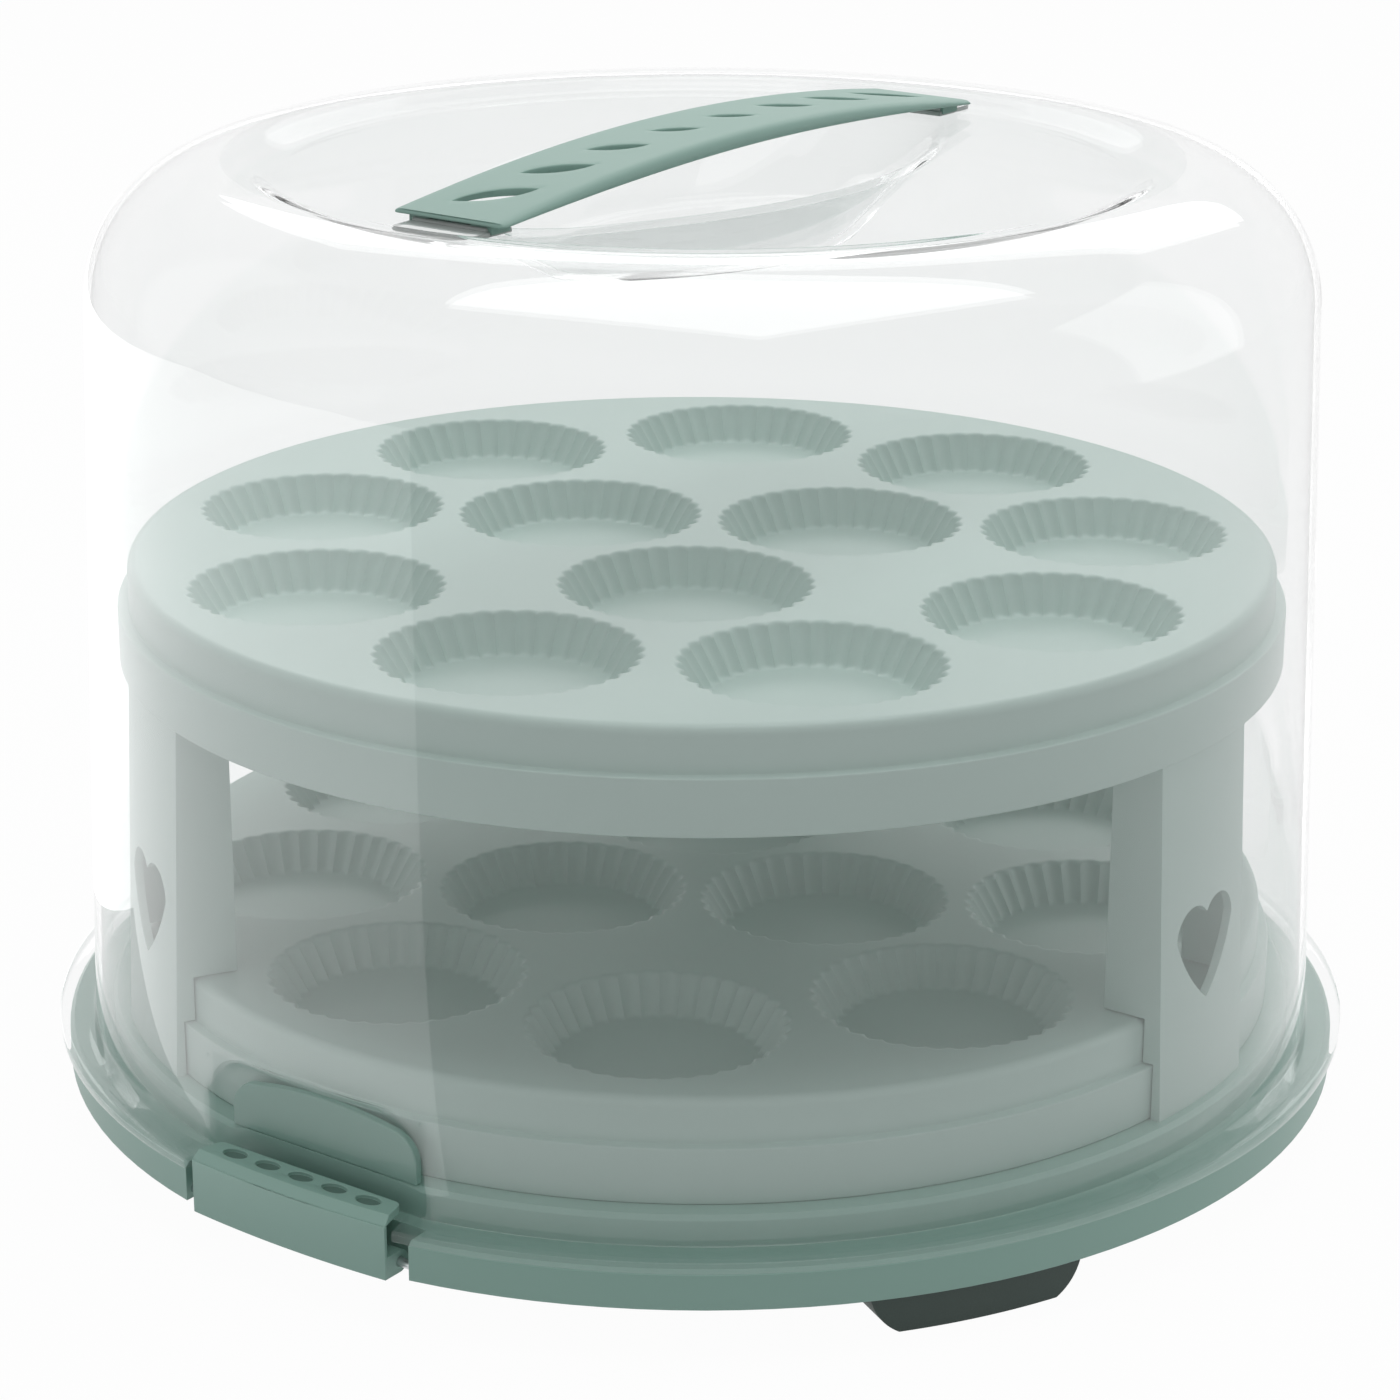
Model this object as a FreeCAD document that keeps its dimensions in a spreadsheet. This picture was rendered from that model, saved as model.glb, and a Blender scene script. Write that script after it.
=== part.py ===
import FreeCAD, Part
import Sketcher
import math
import os
import re
from FreeCAD import Placement, Rotation, Vector

# Cake keeper: a round base with two latches, two fluted trays parted by three pillars, and a clear
# hood with a carrying handle. Floor at Z = 0, latches in front (-Y) and behind (+Y), sizes in mm.
# "reach" is a distance outward from the middle axis, "level" a height above the floor.

SIZES = {
    # base plate
    "rim_radius": 172.5,
    "rim_level": 13.0,
    "rim_bevel": 1.2,
    "seat_level": 23.3,
    "platform_radius": 160.6,
    "platform_level": 31.5,
    "plate_wall": 2.5,
    "rib_thickness": 1.8,
    "rib_depth": 9.0,
    "rib_ring": 100.0,
    "notch_half": 35.9,
    "notch_reach": 161.8,
    "hinge_lug": 3.0,
    "tab_reach": 157.6,
    "tab_thickness": 2.3,
    "tab_half": 29.5,
    "tab_level": 46.5,
    "tab_corner": 8.0,
    "tab_rise": 2.0,
    # latches and their pins
    "hinge_reach": 166.0,
    "hinge_level": 15.5,
    "pin_radius": 1.2,
    "pin_clearance": 0.1,
    "knuckle": 2.9,
    "latch_half": 31.0,
    "latch_taper": 1.5,
    "latch_reach": 173.0,
    "latch_wall": 2.4,
    "latch_plate": 2.2,
    "latch_bevel": 2.4,
    "latch_bow": 320.0,
    "latch_corner": 2.5,
    "lip_reach": 162.6,
    "lip_gap": 0.3,
    "dimple_pitch": 10.7,
    "dimple_length": 7.2,
    "dimple_width": 4.4,
    "dimple_depth": 0.9,
    "dimple_reach": 166.0,
    # feet
    "foot_reach": 165.5,
    "foot_depth": 13.5,
    "foot_top_half": 29.0,
    "foot_sole_half": 21.5,
    "foot_round": 14.0,
    "boss_margin": 1.5,
    "peg_radius": 2.5,
    "peg_height": 4.0,
    "peg_place": 14.0,
    # trays
    "tray_radius": 151.6,
    "skirt_radius": 154.5,
    "tray_height": 26.3,
    "ledge_drop": 11.7,
    "tray_wall": 2.0,
    "tray_deck": 2.2,
    "tray_bevel": 2.4,
    "well_depth": 10.0,
    "well_rim": 32.6,
    "well_floor": 27.0,
    "flute_depth": 1.5,
    "outer_ring": 107.9,
    "inner_ring": 40.8,
    # pillars
    "pillar_rise": 93.3,
    "pillar_half": 20.8,
    "pillar_wall": 2.2,
    "pillar_foot_radius": 157.4,
    "pillar_head_radius": 153.8,
    "pillar_back": 139.0,
    "tray_clearance": 0.4,
    "ear_rise": 19.0,
    "ear_depth": 4.2,
    "heart_half": 14.0,
    "heart_height": 28.0,
    "heart_rise": 27.0,
    # hood
    "flange_radius": 175.0,
    "flange_thickness": 3.0,
    "flange_bevel": 0.9,
    "seat_gap": 0.2,
    "hood_radius": 165.5,
    "hood_lean": 6.3,
    "hood_level": 255.0,
    "hood_wall": 1.8,
    "shoulder_round": 35.7,
    "dish_radius": 115.0,
    "dish_drop": 3.8,
    "niche_reach": 160.2,
    "niche_half": 34.0,
    "niche_level": 51.0,
    "niche_corner": 14.0,
    "flange_notch_half": 32.2,
    "flange_notch_reach": 162.2,
    "scoop_depth": 18.0,
    "scoop_reach": 93.0,
    "scoop_half": 45.0,
    "scoop_end": 12.0,
    "scoop_run": 36.0,
    "scoop_lean": 12.0,
    "tongue_half": 11.5,
    "tongue_reach": 113.0,
    "tongue_height": 1.4,
    "tongue_corner": 4.0,
    # handle
    "handle_reach": 103.5,
    "handle_half": 17.0,
    "handle_rise": 7.3,
    "handle_depth": 3.6,
    "handle_skin": 2.0,
    "handle_side": 2.4,
    "handle_corner": 1.5,
    "handle_gap": 0.1,
    "hole_pitch": 24.4,
    "hole_turn": 50.0,
    "hole_half": 6.3,
    "hole_half_step": 1.4,
    "hole_width": 1.9,
    "hole_width_step": 0.63,
}

RIB_AZIMUTHS = (15, 45, 75, 105, 135, 165)
FOOT_AZIMUTHS = {
    "foot_right_front": 60, "foot_right_rear": 120, "foot_left_rear": 240, "foot_left_front": 300,
}
PILLAR_AZIMUTHS = {"pillar_right": 90, "pillar_left_rear": 210, "pillar_left_front": 330}
OUTER_WELLS = [10 + 40 * k for k in range(9)]
INNER_WELLS = [30, 150, 270]
TRAY_TURNS = {"lower_tray": 60, "upper_tray": 0}
FLUTES = 18
SHOULDER_BANDS = 6

doc = FreeCAD.newDocument("cake_keeper")
sheet = doc.addObject("Spreadsheet::Sheet", "Sizes")
for row, (alias, size) in enumerate(SIZES.items(), start=1):
    sheet.set(f"A{row}", alias)
    sheet.set(f"B{row}", str(size))
    sheet.setAlias(f"B{row}", alias)

# levels and reaches that follow from the sizes above
DERIVED = {
    "flange_level": "seat_level + seat_gap",
    "flange_top": "seat_level + seat_gap + flange_thickness",
    "lip_level": "seat_level + seat_gap + flange_thickness + lip_gap",
    "dish_level": "hood_level - dish_drop",
    "handle_end_level": "hood_level - dish_drop + handle_gap + handle_depth",
    "handle_bend": "(handle_reach^2 + handle_rise^2) / (2 * handle_rise)",
    "upper_level": "platform_level + pillar_rise",
    "tab_bend": "((tab_half - tab_corner)^2 + tab_rise^2) / (2 * tab_rise)",
    "hood_shoulder": "hood_radius - hood_lean",
    "ear_reach": "sqrt((tray_radius - tray_wall - tray_clearance)^2 - pillar_half^2)",
    "heart_level": "platform_level + heart_rise",
}
WORDS = set(SIZES) | set(DERIVED)


def formula(text):
    """Point every size named in a formula at its cell."""
    return re.sub(r"[a-z]\w*", lambda found: f"Sizes.{found[0]}" if found[0] in WORDS else found[0], text)


for row, (alias, text) in enumerate(DERIVED.items(), start=len(SIZES) + 1):
    sheet.set(f"A{row}", alias)
    sheet.set(f"B{row}", "=" + re.sub("Sizes[.]", "", formula(text)))
    sheet.setAlias(f"B{row}", alias)
doc.recompute()

PLAN = Rotation()
FRONT = Rotation(Vector(1, 0, 0), 90)
SIDE = Rotation(Vector(0, -1, 0), Vector(0, 0, 1), Vector(-1, 0, 0), "XYZ")


def value(text):
    return float(sheet.evalExpression(formula(text)))


def turn(azimuth):
    return Rotation(Vector(0, 0, 1), azimuth)


def bind(feature, **formulas):
    for name, text in formulas.items():
        feature.setExpression(name.replace("Base_", "Placement.Base."), formula(text))
    return feature


def arc_between(start, end, radius, way):
    """The short arc from start to end; way is 1 for anticlockwise, -1 for clockwise."""
    chord = end - start
    rise = math.sqrt(max(radius ** 2 - (chord.Length / 2) ** 2, 0))
    left = Vector(-chord.y, chord.x, 0).normalize()
    centre = (start + end) * 0.5 + left * rise * way
    first, last = (start, end) if way > 0 else (end, start)
    angles = [math.atan2(point.y - centre.y, point.x - centre.x) for point in (first, last)]
    return Part.ArcOfCircle(Part.Circle(centre, Vector(0, 0, 1), radius), *angles)


def outline(name, plane, corners, level="0"):
    """A closed sketch. Each corner is (x, y), or (x, y, radius, way) when an arc leads to it."""
    drawing = doc.addObject("Sketcher::SketchObject", name)
    drawing.Placement = Placement(Vector(), plane)
    places = [Vector(value(corner[0]), value(corner[1]), 0) for corner in corners]
    ends = []
    for index, corner in enumerate(corners):
        start, end = places[index - 1], places[index]
        if len(corner) == 2:
            drawing.addGeometry(Part.LineSegment(start, end), False)
        else:
            drawing.addGeometry(arc_between(start, end, value(corner[2]), corner[3]), False)
        ends.append((1, 2) if len(corner) == 2 or corner[3] > 0 else (2, 1))
    for index in range(len(corners)):
        following = (index + 1) % len(corners)
        drawing.addConstraint(
            Sketcher.Constraint("Coincident", index, ends[index][1], following, ends[following][0])
        )
    for index, corner in enumerate(corners):
        for axis, kind, text in ((-2, "DistanceX", corner[0]), (-1, "DistanceY", corner[1])):
            if text == "0":
                drawing.addConstraint(Sketcher.Constraint("PointOnObject", index, ends[index][1], axis))
                continue
            number = drawing.addConstraint(
                Sketcher.Constraint(kind, -1, 1, index, ends[index][1], value(text))
            )
            drawing.setExpression(f"Constraints[{number}]", formula(text))
        if len(corner) > 2:
            number = drawing.addConstraint(Sketcher.Constraint("Radius", index, value(corner[2])))
            drawing.setExpression(f"Constraints[{number}]", formula(corner[2]))
    if level != "0":
        bind(drawing, Base_z=level)
    return drawing


def prism(name, plane, corners, start, end):
    """A sketch pushed along its normal from start to end."""
    body = doc.addObject("Part::Extrusion", name)
    body.Base = outline(name + "Outline", plane, corners)
    body.DirMode = "Normal"
    body.Solid = True
    return bind(body, LengthFwd=end, LengthRev=f"-({start})")


def lathe(name, corners):
    """A sketch of (reach, level) corners turned about the middle axis."""
    body = doc.addObject("Part::Revolution", name)
    body.Source = outline(name + "Outline", FRONT, corners)
    body.Axis = Vector(0, 0, 1)
    body.Angle = 360
    body.Solid = True
    return body


def loft(name, lower, upper):
    body = doc.addObject("Part::Loft", name)
    body.Sections = [lower, upper]
    body.Solid = True
    body.Ruled = True
    return body


def drum(name, radius, bottom, top):
    body = doc.addObject("Part::Cylinder", name)
    return bind(body, Radius=radius, Height=f"({top}) - ({bottom})", Base_z=bottom)


def rod(name, radius, half, reach, level):
    """A cylinder along X, as far to the left as to the right."""
    body = doc.addObject("Part::Cylinder", name)
    body.Placement.Rotation = Rotation(Vector(0, 1, 0), 90)
    return bind(
        body, Radius=radius, Height=f"2 * ({half})", Base_x=f"-({half})", Base_y=f"-({reach})", Base_z=level
    )


def block(name, half, near, far, bottom, top):
    """A box in front of the axis: as wide left as right, from near to far, from bottom to top."""
    body = doc.addObject("Part::Box", name)
    return bind(
        body, Length=f"2 * ({half})", Width=f"({far}) - ({near})", Height=f"({top}) - ({bottom})",
        Base_x=f"-({half})", Base_y=f"-({far})", Base_z=bottom,
    )


def front_and_rear(body, rear=None):
    twin = doc.addObject("Part::Mirroring", rear or body.Name + "Rear")
    twin.Source = body
    twin.Normal = Vector(0, 1, 0)
    return [body, twin]


def union(name, bodies):
    body = doc.addObject("Part::MultiFuse", name)
    body.Shapes = bodies
    return body


def shared(name, bodies):
    body = doc.addObject("Part::MultiCommon", name)
    body.Shapes = bodies
    return body


def cut(name, base, tools):
    body = doc.addObject("Part::Cut", name)
    body.Base = base
    body.Tool = tools[0] if len(tools) == 1 else union(name + "Tools", tools)
    return body


def rounded_plate(half, near, far, corner):
    """Corners of a plate in plan, square at its near edge and rounded at its far edge."""
    return [
        (f"-({half})", f"-({near})"),
        (f"-({half})", f"-({far} - {corner})"),
        (f"-({half} - {corner})", f"-({far})", corner, 1),
        (f"{half} - {corner}", f"-({far})"),
        (half, f"-({far} - {corner})", corner, 1),
        (half, f"-({near})"),
    ]


# Base plate
plate_solid = lathe("PlateSolid", [
    ("0", "rim_level"),
    ("rim_radius", "rim_level"),
    ("rim_radius", "seat_level - rim_bevel"),
    ("rim_radius - rim_bevel", "seat_level"),
    ("platform_radius", "seat_level"),
    ("platform_radius", "platform_level - rim_bevel"),
    ("platform_radius - rim_bevel", "platform_level"),
    ("0", "platform_level"),
])
plate_hollow = lathe("PlateHollow", [
    ("0", "rim_level - 1"),
    ("rim_radius - plate_wall", "rim_level - 1"),
    ("rim_radius - plate_wall", "seat_level - plate_wall"),
    ("platform_radius - plate_wall", "seat_level - plate_wall"),
    ("platform_radius - plate_wall", "platform_level - plate_wall"),
    ("0", "platform_level - plate_wall"),
])
rib_low = "platform_level - plate_wall - rib_depth"
rib_high = "platform_level - plate_wall / 2"
keeps = []
for azimuth in RIB_AZIMUTHS:
    strip = [
        ("-platform_radius", "-rib_thickness / 2"),
        ("platform_radius", "-rib_thickness / 2"),
        ("platform_radius", "rib_thickness / 2"),
        ("-platform_radius", "rib_thickness / 2"),
    ]
    keeps.append(prism(f"Rib{azimuth}", turn(azimuth), strip, rib_low, rib_high))
keeps.append(cut("RibRing", drum("RibRingOuter", "rib_ring + rib_thickness / 2", rib_low, rib_high), [
    drum("RibRingInner", "rib_ring - rib_thickness / 2", rib_low + " - 1", rib_high + " + 1"),
]))
for azimuth in FOOT_AZIMUTHS.values():
    boss_half = "foot_top_half + boss_margin"
    boss = [
        (f"-({boss_half})", "rim_level"),
        (boss_half, "rim_level"),
        (boss_half, "seat_level - plate_wall / 2"),
        (f"-({boss_half})", "seat_level - plate_wall / 2"),
    ]
    keeps.append(prism(
        f"Boss{azimuth}", turn(azimuth) * FRONT, boss,
        "foot_reach - foot_depth - boss_margin", "foot_reach + boss_margin",
    ))
keeps += front_and_rear(block(
    "HingeBlock", "notch_half + hinge_lug", "notch_reach - plate_wall", "rim_radius",
    "rim_level", "seat_level - plate_wall / 2",
))
keeps += front_and_rear(block(
    "TabWall", "notch_half", "tab_reach - plate_wall", "platform_radius",
    "seat_level - plate_wall", "platform_level - plate_wall / 2",
))
openings = front_and_rear(block(
    "Notch", "notch_half", "notch_reach", "rim_radius + 5", "rim_level - 1", "seat_level + 1",
))
openings += front_and_rear(block(
    "TabFlat", "notch_half", "tab_reach", "rim_radius + 5", "seat_level", "platform_level + 1",
))
openings += front_and_rear(rod(
    "PinHole", "pin_radius", "notch_half + hinge_lug + 2", "hinge_reach", "hinge_level",
))
for name, azimuth in FOOT_AZIMUTHS.items():
    for side in (-1, 1):
        hole = drum(
            f"PegHole{azimuth}{'Left' if side < 0 else 'Right'}", "peg_radius",
            "rim_level - 1", "rim_level + peg_height + 0.5",
        )
        middle = "foot_reach - foot_depth / 2"
        bind(
            hole,
            Base_x=f"{side} * peg_place * cos({azimuth}) + ({middle}) * sin({azimuth})",
            Base_y=f"{side} * peg_place * sin({azimuth}) - ({middle}) * cos({azimuth})",
        )
        openings.append(hole)
tab_side = "tab_level - tab_rise - tab_corner"
tab_shoulder = "tab_level - tab_rise"
tabs = front_and_rear(prism("tab_front", FRONT, [
    ("-tab_half", "platform_level"),
    ("tab_half", "platform_level"),
    ("tab_half", tab_side),
    ("tab_half - tab_corner", tab_shoulder, "tab_corner", 1),
    ("-(tab_half - tab_corner)", tab_shoulder, "tab_bend", 1),
    ("-tab_half", tab_side, "tab_corner", 1),
], "tab_reach - tab_thickness", "tab_reach"), "tab_rear")
plate_shell = cut("PlateShell", plate_solid, [cut("PlateCavity", plate_hollow, keeps)])
base_plate = cut("base_plate", plate_shell, openings)

# Feet
foot_sides = prism("FootSides", FRONT, [
    ("-foot_sole_half", "0", "foot_round", 1),
    ("foot_sole_half", "0"),
    ("foot_top_half", "rim_level", "foot_round", 1),
    ("-foot_top_half", "rim_level"),
], "foot_reach - 2 * foot_depth", "foot_reach + foot_depth")
foot_ring = cut("FootRing", drum("FootRingOuter", "foot_reach", "-1", "rim_level + 1"), [
    drum("FootRingInner", "foot_reach - foot_depth", "-2", "rim_level + 2"),
])
foot_block = shared("FootBlock", [foot_sides, foot_ring])
pegs = []
for side in ("-", ""):
    peg = drum("PegLeft" if side else "PegRight", "peg_radius", "rim_level - 1", "rim_level + peg_height")
    pegs.append(bind(peg, Base_x=side + "peg_place", Base_y="-(foot_reach - foot_depth / 2)"))
feet = []
for name, azimuth in FOOT_AZIMUTHS.items():
    foot = union(name, [foot_block, *pegs])
    foot.Placement = Placement(Vector(), turn(azimuth))
    feet.append(foot)

# Latches and hinge pins
latch_top = "lip_level + latch_plate"
knuckle_low = "hinge_level - knuckle"
latch_plate = prism("LatchPlate", SIDE, [
    ("lip_reach", "lip_level"),
    ("lip_reach", latch_top),
    ("latch_reach", latch_top),
    ("latch_reach", "lip_level"),
], "-latch_half", "latch_half")
latch_front_wall = prism("LatchFrontWall", SIDE, [
    ("latch_reach", "lip_level"),
    ("latch_reach", knuckle_low),
    ("hinge_reach", knuckle_low),
    ("hinge_reach - knuckle", "hinge_level", "knuckle", -1),
    ("hinge_reach", "hinge_level + knuckle", "knuckle", -1),
    ("latch_reach - latch_wall", "hinge_level + knuckle"),
    ("latch_reach - latch_wall", "lip_level"),
], "-latch_half", "latch_half")
latch_bowed = lathe("LatchBowed", [
    ("0", knuckle_low + " - 1"),
    ("latch_bow", knuckle_low + " - 1"),
    ("latch_bow", latch_top + " - latch_bevel"),
    ("latch_bow - latch_bevel", latch_top + " + 0.01"),
    ("0", latch_top + " + 0.01"),
])
bind(latch_bowed, Base_y="latch_bow - latch_reach")
latch_plan = prism("LatchPlan", PLAN, [
    ("-latch_half", "-(latch_reach + 5)"),
    ("latch_half", "-(latch_reach + 5)"),
    ("latch_half", "-(latch_reach - latch_bevel)"),
    ("latch_half - latch_taper", "-(lip_reach + latch_corner)"),
    ("latch_half - latch_taper - latch_corner", "-lip_reach", "latch_corner", 1),
    ("-(latch_half - latch_taper - latch_corner)", "-lip_reach"),
    ("-(latch_half - latch_taper)", "-(lip_reach + latch_corner)", "latch_corner", 1),
    ("-latch_half", "-(latch_reach - latch_bevel)"),
], "0", "lip_level + 20")
latch_blank = shared("LatchBlank", [latch_plate, latch_bowed, latch_plan])
arm_blank = shared("ArmBlank", [latch_front_wall, latch_bowed])
arm_hole = rod("ArmPinHole", "pin_radius + pin_clearance", "latch_half + 1", "hinge_reach", "hinge_level")
latch_cuts = []
for place in (-2, -1, 0, 1, 2):
    oval = doc.addObject("Part::Ellipse", f"Dimple{place + 3}Oval")
    bind(
        oval, MajorRadius="dimple_length / 2", MinorRadius="dimple_width / 2",
        Base_x=f"{place} * dimple_pitch", Base_y="-dimple_reach", Base_z=latch_top + " - dimple_depth",
    )
    dimple = doc.addObject("Part::Extrusion", f"Dimple{place + 3}")
    dimple.Base = oval
    dimple.DirMode = "Normal"
    dimple.Solid = True
    latch_cuts.append(bind(dimple, LengthFwd="dimple_depth + 1"))
latch_tools = union("LatchTools", latch_cuts)
latches = []
pins = []
for end, azimuth in (("front", 0), ("rear", 180)):
    for name, blank, tool in (("latch", latch_blank, latch_tools), ("latch_arm", arm_blank, arm_hole)):
        latch = cut(f"{name}_{end}", blank, [tool])
        latch.Placement = Placement(Vector(), turn(azimuth))
        latches.append(latch)
    pin = rod(f"pin_{end}", "pin_radius", "notch_half + hinge_lug - 1.5", "hinge_reach", "hinge_level")
    pins.append(pin if azimuth == 0 else bind(pin, Base_y="hinge_reach"))

# Trays
ledge = "tray_height - ledge_drop"
tray_shell = lathe("TrayShell", [
    ("0", "tray_height"),
    ("0", "tray_height - tray_deck"),
    ("tray_radius - tray_wall", "tray_height - tray_deck"),
    ("tray_radius - tray_wall", ledge + " - tray_wall"),
    ("skirt_radius - tray_wall", ledge + " - tray_wall"),
    ("skirt_radius - tray_wall", "0"),
    ("skirt_radius", "0"),
    ("skirt_radius", ledge),
    ("tray_radius", ledge),
    ("tray_radius", "tray_height - tray_bevel"),
    ("tray_radius - 0.3 * tray_bevel", "tray_height - 0.3 * tray_bevel"),
    ("tray_radius - tray_bevel", "tray_height"),
])
well_places = [("outer_ring", azimuth) for azimuth in OUTER_WELLS]
well_places += [("inner_ring", azimuth) for azimuth in INNER_WELLS]


def flute_ring(radius, depth, level):
    """A pleated outline: it swings between the radius and a flute's depth inside it."""
    points = []
    for step in range(2 * FLUTES):
        reach = radius - (depth if step % 2 else 0)
        angle = math.pi * step / FLUTES
        points.append(Vector(reach * math.sin(angle), -reach * math.cos(angle), level))
    return Part.makePolygon(points + points[:1])


def at_wells(name, shape):
    """A copy of the shape at the place of every well."""
    copies = []
    for ring, azimuth in well_places:
        copy = shape.copy()
        copy.Placement = Placement(turn(azimuth).multVec(Vector(0, -value(ring), 0)), turn(azimuth))
        copies.append(copy)
    feature = doc.addObject("Part::Feature", name)
    feature.Shape = Part.makeCompound(copies)
    return feature


well_lean = "(well_rim - well_floor) / well_depth"
well_bottom = value("tray_height - well_depth")
well_shape = Part.makeLoft([
    flute_ring(value("well_floor"), value("flute_depth"), well_bottom),
    flute_ring(value(f"well_rim + {well_lean}"), value("flute_depth"), value("tray_height + 1")),
], True, True)
cup_shape = Part.makeLoft([
    flute_ring(value("well_floor + tray_wall"), 0, value("tray_height - well_depth - tray_wall")),
    flute_ring(value("well_rim + tray_wall"), 0, value("tray_height - tray_deck / 2")),
], True, True)
tray_cups = union("TrayCups", [tray_shell, at_wells("Cups", cup_shape)])
fluted_wells = at_wells("FlutedWells", well_shape)
trays = []
for name, level in (("lower_tray", "platform_level"), ("upper_tray", "upper_level")):
    tray = cut(name, tray_cups, [fluted_wells])
    tray.Placement.Rotation = turn(TRAY_TURNS[name])
    trays.append(bind(tray, Base_z=level))

# Pillars
tray_top = "platform_level + tray_height + tray_clearance"
pillar_slope = "(pillar_foot_radius - pillar_head_radius) / pillar_rise"
pillar_side = prism("PillarSide", SIDE, [
    ("pillar_back", "platform_level"),
    ("pillar_foot_radius + 5", "platform_level"),
    ("pillar_foot_radius + 5", "upper_level"),
    ("ear_reach", "upper_level"),
    ("ear_reach", "upper_level + ear_rise"),
    ("ear_reach - ear_depth", "upper_level + ear_rise"),
    ("ear_reach - ear_depth", "upper_level"),
    ("pillar_back", "upper_level - 8"),
], "-pillar_half", "pillar_half")


def pillar_cone(name, wall):
    """The leaning front face of a pillar, carried on above and below it."""
    cone = doc.addObject("Part::Cone", name)
    return bind(
        cone, Radius1=f"pillar_foot_radius - {wall} + 30 * {pillar_slope}",
        Radius2=f"pillar_head_radius - {wall} - 30 * {pillar_slope}",
        Height="pillar_rise + 60", Base_z="platform_level - 30",
    )


pillar_channel = shared("PillarChannel", [
    pillar_cone("PillarInner", "pillar_wall"),
    block("PillarHollow", "pillar_half - pillar_wall", "pillar_back - 20", "pillar_foot_radius + 10",
          "platform_level - 10", "upper_level + ear_rise + 5"),
])
pillar_blank = shared("PillarBlank", [pillar_side, pillar_cone("PillarOuter", "0")])
heart_widest = "heart_level + 0.66 * heart_height"
heart_notch = "heart_level + 0.82 * heart_height"
heart = prism("Heart", FRONT, [
    ("0", "heart_level", "3 * heart_half", 1),
    ("heart_half", heart_widest, "3 * heart_half", 1),
    ("0", heart_notch, "0.56 * heart_half", 1),
    ("-heart_half", heart_widest, "0.56 * heart_half", 1),
], "pillar_back", "pillar_foot_radius + 10")
pillar_tools = union("PillarTools", [
    pillar_channel,
    heart,
    drum("TrayPlace", "tray_radius + tray_clearance", "platform_level - 1", tray_top),
    drum("SkirtPlace", "skirt_radius + tray_clearance", "platform_level - 2",
         "platform_level + tray_height - ledge_drop + tray_clearance"),
])
pillars = []
for name, azimuth in PILLAR_AZIMUTHS.items():
    pillar = cut(name, pillar_blank, [pillar_tools])
    pillar.Placement = Placement(Vector(), turn(azimuth))
    pillars.append(pillar)

# Hood
shoulder_level = "hood_level - shoulder_round"


def shoulder(wall):
    """The bend from wall to top, as a run of narrow bands."""
    corners = []
    for band in range(1, SHOULDER_BANDS + 1):
        angle = 90 * band / SHOULDER_BANDS
        corners.append((
            f"hood_shoulder - shoulder_round + (shoulder_round - {wall}) * cos({angle})",
            f"{shoulder_level} + (shoulder_round - {wall}) * sin({angle})",
        ))
    return corners


hood_outer = lathe("HoodOuter", [
    ("0", "flange_top"),
    ("hood_radius", "flange_top"),
    ("hood_shoulder", shoulder_level),
    *shoulder("0"),
    ("dish_radius", "hood_level"),
    ("dish_radius - dish_drop", "dish_level"),
    ("0", "dish_level"),
])
hood_inner = lathe("HoodInner", [
    ("0", "flange_level - 1"),
    ("hood_radius - hood_wall", "flange_level - 1"),
    ("hood_radius - hood_wall", "flange_top"),
    ("hood_shoulder - hood_wall", shoulder_level),
    *shoulder("hood_wall"),
    ("dish_radius + hood_wall / 2", "hood_level - hood_wall"),
    ("dish_radius + hood_wall / 2 - dish_drop", "dish_level - hood_wall"),
    ("0", "dish_level - hood_wall"),
])
flange_disc = lathe("FlangeDisc", [
    ("0", "flange_level"),
    ("flange_radius - flange_bevel", "flange_level"),
    ("flange_radius", "flange_level + flange_bevel"),
    ("flange_radius", "flange_top - flange_bevel"),
    ("flange_radius - flange_bevel", "flange_top"),
    ("0", "flange_top"),
])


def niche(name, reach, grow, bottom):
    """The flat place behind a latch, with a rounded top."""
    half = f"niche_half + {grow}"
    top = f"niche_level + {grow}"
    return front_and_rear(prism(name, FRONT, [
        (f"-({half})", bottom),
        (half, bottom),
        (half, f"{top} - niche_corner"),
        (f"{half} - niche_corner", top, "niche_corner", 1),
        (f"-({half} - niche_corner)", top),
        (f"-({half})", f"{top} - niche_corner", "niche_corner", 1),
    ], reach, "flange_radius + 5"))


def lens(name, half, end, reach, level):
    """A long lens along Y with blunt ends."""
    bulge = f"({half} - ({end}))"
    bend = f"(({reach})^2 + {bulge}^2) / (2 * {bulge})"
    return outline(name, PLAN, [
        (f"-({end})", f"-({reach})", bend, 1),
        (end, f"-({reach})"),
        (end, reach, bend, 1),
        (f"-({end})", reach),
    ], level)


def scoop(name, grow):
    """The finger well under the handle; its walls carry on one millimetre above the dish."""
    up = "1 / scoop_depth"
    low = lens(
        name + "Floor", f"scoop_half - scoop_lean + {grow}", f"scoop_end / 2 + {grow}",
        f"scoop_reach - scoop_run + {grow}", f"dish_level - scoop_depth - {grow}",
    )
    high = lens(
        name + "Mouth", f"scoop_half + scoop_lean * {up} + {grow}",
        f"scoop_end + scoop_end / 2 * {up} + {grow}",
        f"scoop_reach + scoop_run * {up} + {grow}", "dish_level + 1",
    )
    return loft(name, low, high)


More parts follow.
